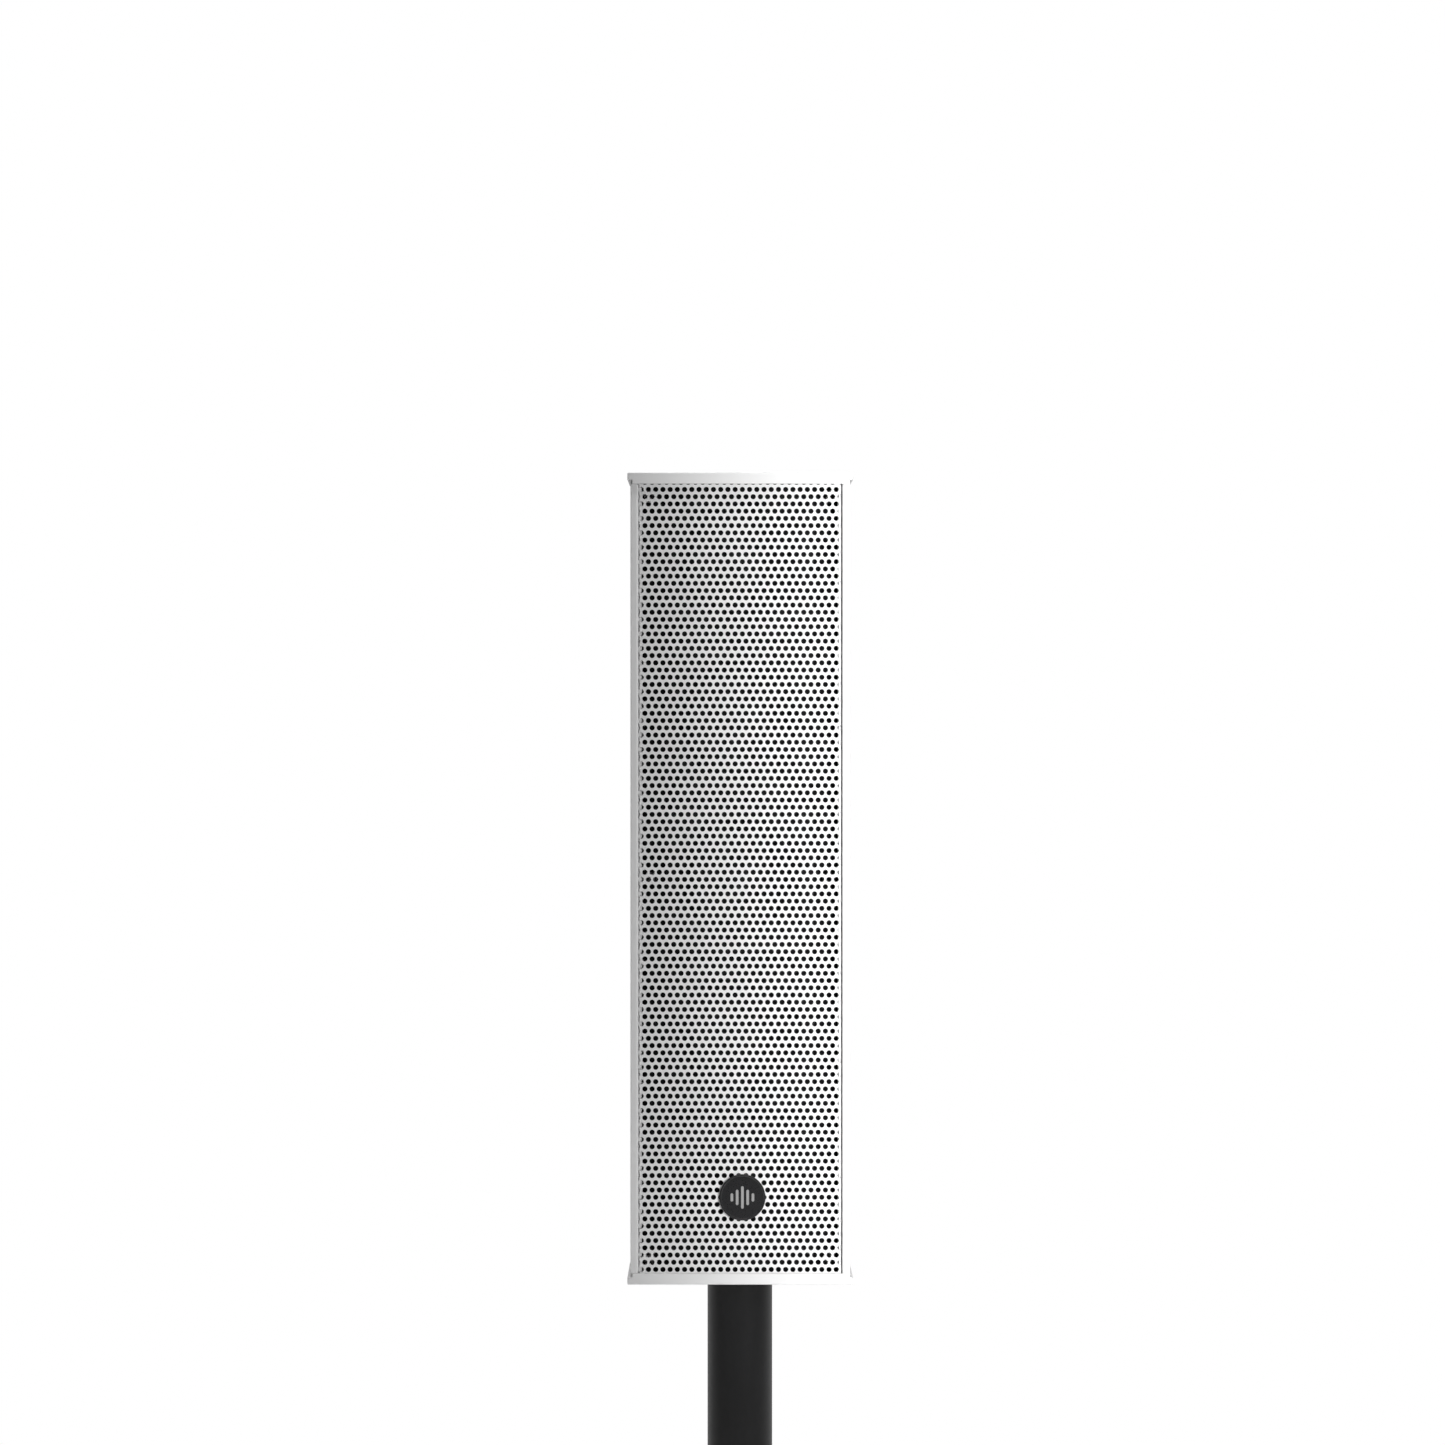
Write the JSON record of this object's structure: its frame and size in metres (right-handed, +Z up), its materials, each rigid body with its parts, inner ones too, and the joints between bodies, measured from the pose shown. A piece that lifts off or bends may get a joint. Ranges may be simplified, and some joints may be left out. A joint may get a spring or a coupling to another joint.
{
  "type": "column pa speaker",
  "caption": "Slim white column loudspeaker with a perforated front grille, end caps and small drivers in a row, on a round black pole.",
  "frame": {"origin": "centre of the pole's lower end", "axes": "+Z up along the pole, the grille faces -Y, +X to the right seen from the front"},
  "size_m": [0.1198, 0.1505, 0.5813],
  "materials": {
    "white_coat": "satin white powder coat with fine orange peel",
    "badge_black": "charcoal lacquered disc with a lighter rim and symbol",
    "baffle_black": "moulded black plastic",
    "foam_black": "closed-cell foam",
    "screw_zinc": "zinc-plated steel",
    "frame_black": "black stove enamel",
    "magnet_ferrite": "sintered ferrite between plated steel plates",
    "cone_paper": "dark grey pressed paper",
    "surround_rubber": "butyl rubber",
    "spider_cloth": "resin-treated cotton",
    "board_green": "solder mask on glass fibre",
    "copper_wire": "enamelled copper wire",
    "capacitor_film": "film capacitor sleeve",
    "lamination_steel": "varnished steel laminations",
    "plate_black": "black anodised plate",
    "terminal_black": "black polyamide",
    "terminal_green": "green polyamide",
    "knob_plastic": "black textured polyamide",
    "pole_black": "satin black powder coat on steel tube",
    "nylon": "black nylon",
    "cast_aluminium": "die-cast aluminium"
  },
  "bodies": {
    "pole": {"pole_tube": "pole_black", "pole_top_plug": "nylon", "pole_foot_plug": "nylon"},
    "terminal_plug": {"terminal_plug": "terminal_green"},
    "tap_knob": {"tap_knob": "knob_plastic"},
    "clamp_pad": {"clamp_pad": "nylon"},
    "clamp_knob": {"clamp_knob": "knob_plastic"},
    "cone_1": {"driver_1_cone": "cone_paper"},
    "cone_2": {"driver_2_cone": "cone_paper"},
    "cone_3": {"driver_3_cone": "cone_paper"},
    "cone_4": {"driver_4_cone": "cone_paper"},
    "cone_5": {"driver_5_cone": "cone_paper"},
    "cabinet": {"badge": "badge_black", "baffle": "baffle_black", "baffle_gasket": "foam_black", "baffle_screws": "screw_zinc", "board_standoffs": "screw_zinc", "bottom_cap": "white_coat", "bracket_inserts": "screw_zinc", "cabinet_extrusion": "white_coat", "cap_gaskets": "foam_black", "cap_screws": "screw_zinc", "cup_bush": "nylon", "cup_screws": "screw_zinc", "driver_1_basket": "frame_black", "driver_1_magnet": "magnet_ferrite", "driver_1_spider": "spider_cloth", "driver_1_surround": "surround_rubber", "driver_2_basket": "frame_black", "driver_2_magnet": "magnet_ferrite", "driver_2_spider": "spider_cloth", "driver_2_surround": "surround_rubber", "driver_3_basket": "frame_black", "driver_3_magnet": "magnet_ferrite", "driver_3_spider": "spider_cloth", "driver_3_surround": "surround_rubber", "driver_4_basket": "frame_black", "driver_4_magnet": "magnet_ferrite", "driver_4_spider": "spider_cloth", "driver_4_surround": "surround_rubber", "driver_5_basket": "frame_black", "driver_5_magnet": "magnet_ferrite", "driver_5_spider": "spider_cloth", "driver_5_surround": "surround_rubber", "driver_screws": "screw_zinc", "filter_board": "board_green", "filter_capacitors": "capacitor_film", "filter_coil": "copper_wire", "front_grille": "white_coat", "input_plate": "plate_black", "input_plate_gasket": "foam_black", "input_plate_screws": "screw_zinc", "pole_cup": "cast_aluminium", "tap_switch": "terminal_black", "terminal_header": "terminal_black", "top_cap": "white_coat", "transformer_brackets": "lamination_steel", "transformer_core": "lamination_steel", "transformer_screws": "screw_zinc", "transformer_winding": "copper_wire"}
  },
  "joints": [
    {"name": "cabinet_swivel", "type": "hinge", "parent": "pole", "child": "cabinet", "pos_m": [0, 0, 0.15], "axis": [0, 0, 1], "continuous": true},
    {"name": "cone_travel_1", "type": "slide", "parent": "cabinet", "child": "cone_1", "axis": [0, -1, 0], "range_m": [-0.003, 0.003], "stiffness_N_per_m": 1200, "deforming": ["driver_1_surround", "driver_1_spider"]},
    {"name": "cone_travel_2", "type": "slide", "parent": "cabinet", "child": "cone_2", "axis": [0, -1, 0], "range_m": [-0.003, 0.003], "stiffness_N_per_m": 1200, "deforming": ["driver_2_surround", "driver_2_spider"]},
    {"name": "cone_travel_3", "type": "slide", "parent": "cabinet", "child": "cone_3", "axis": [0, -1, 0], "range_m": [-0.003, 0.003], "stiffness_N_per_m": 1200, "deforming": ["driver_3_surround", "driver_3_spider"]},
    {"name": "cone_travel_4", "type": "slide", "parent": "cabinet", "child": "cone_4", "axis": [0, -1, 0], "range_m": [-0.003, 0.003], "stiffness_N_per_m": 1200, "deforming": ["driver_4_surround", "driver_4_spider"]},
    {"name": "cone_travel_5", "type": "slide", "parent": "cabinet", "child": "cone_5", "axis": [0, -1, 0], "range_m": [-0.003, 0.003], "stiffness_N_per_m": 1200, "deforming": ["driver_5_surround", "driver_5_spider"]},
    {"name": "tap_select", "type": "hinge", "parent": "cabinet", "child": "tap_knob", "pos_m": [0, 0.0528, 0.248], "axis": [0, -1, 0], "range_deg": [0, 120]},
    {"name": "terminal_unplug", "type": "slide", "parent": "cabinet", "child": "terminal_plug", "axis": [0, 1, 0], "range_m": [0, 0.012]},
    {"name": "clamp_travel", "type": "slide", "parent": "cabinet", "child": "clamp_pad", "axis": [0, 1, 0], "range_m": [0, 0.0025]},
    {"name": "clamp_turn", "type": "hinge", "parent": "clamp_pad", "child": "clamp_knob", "pos_m": [0, 0.05, 0.182], "axis": [0, 1, 0], "range_deg": [0, 720]}
  ],
  "couplings": [
    {"joint": "clamp_turn", "follows": "clamp_travel", "rad_per_m": 5026.5}
  ]
}
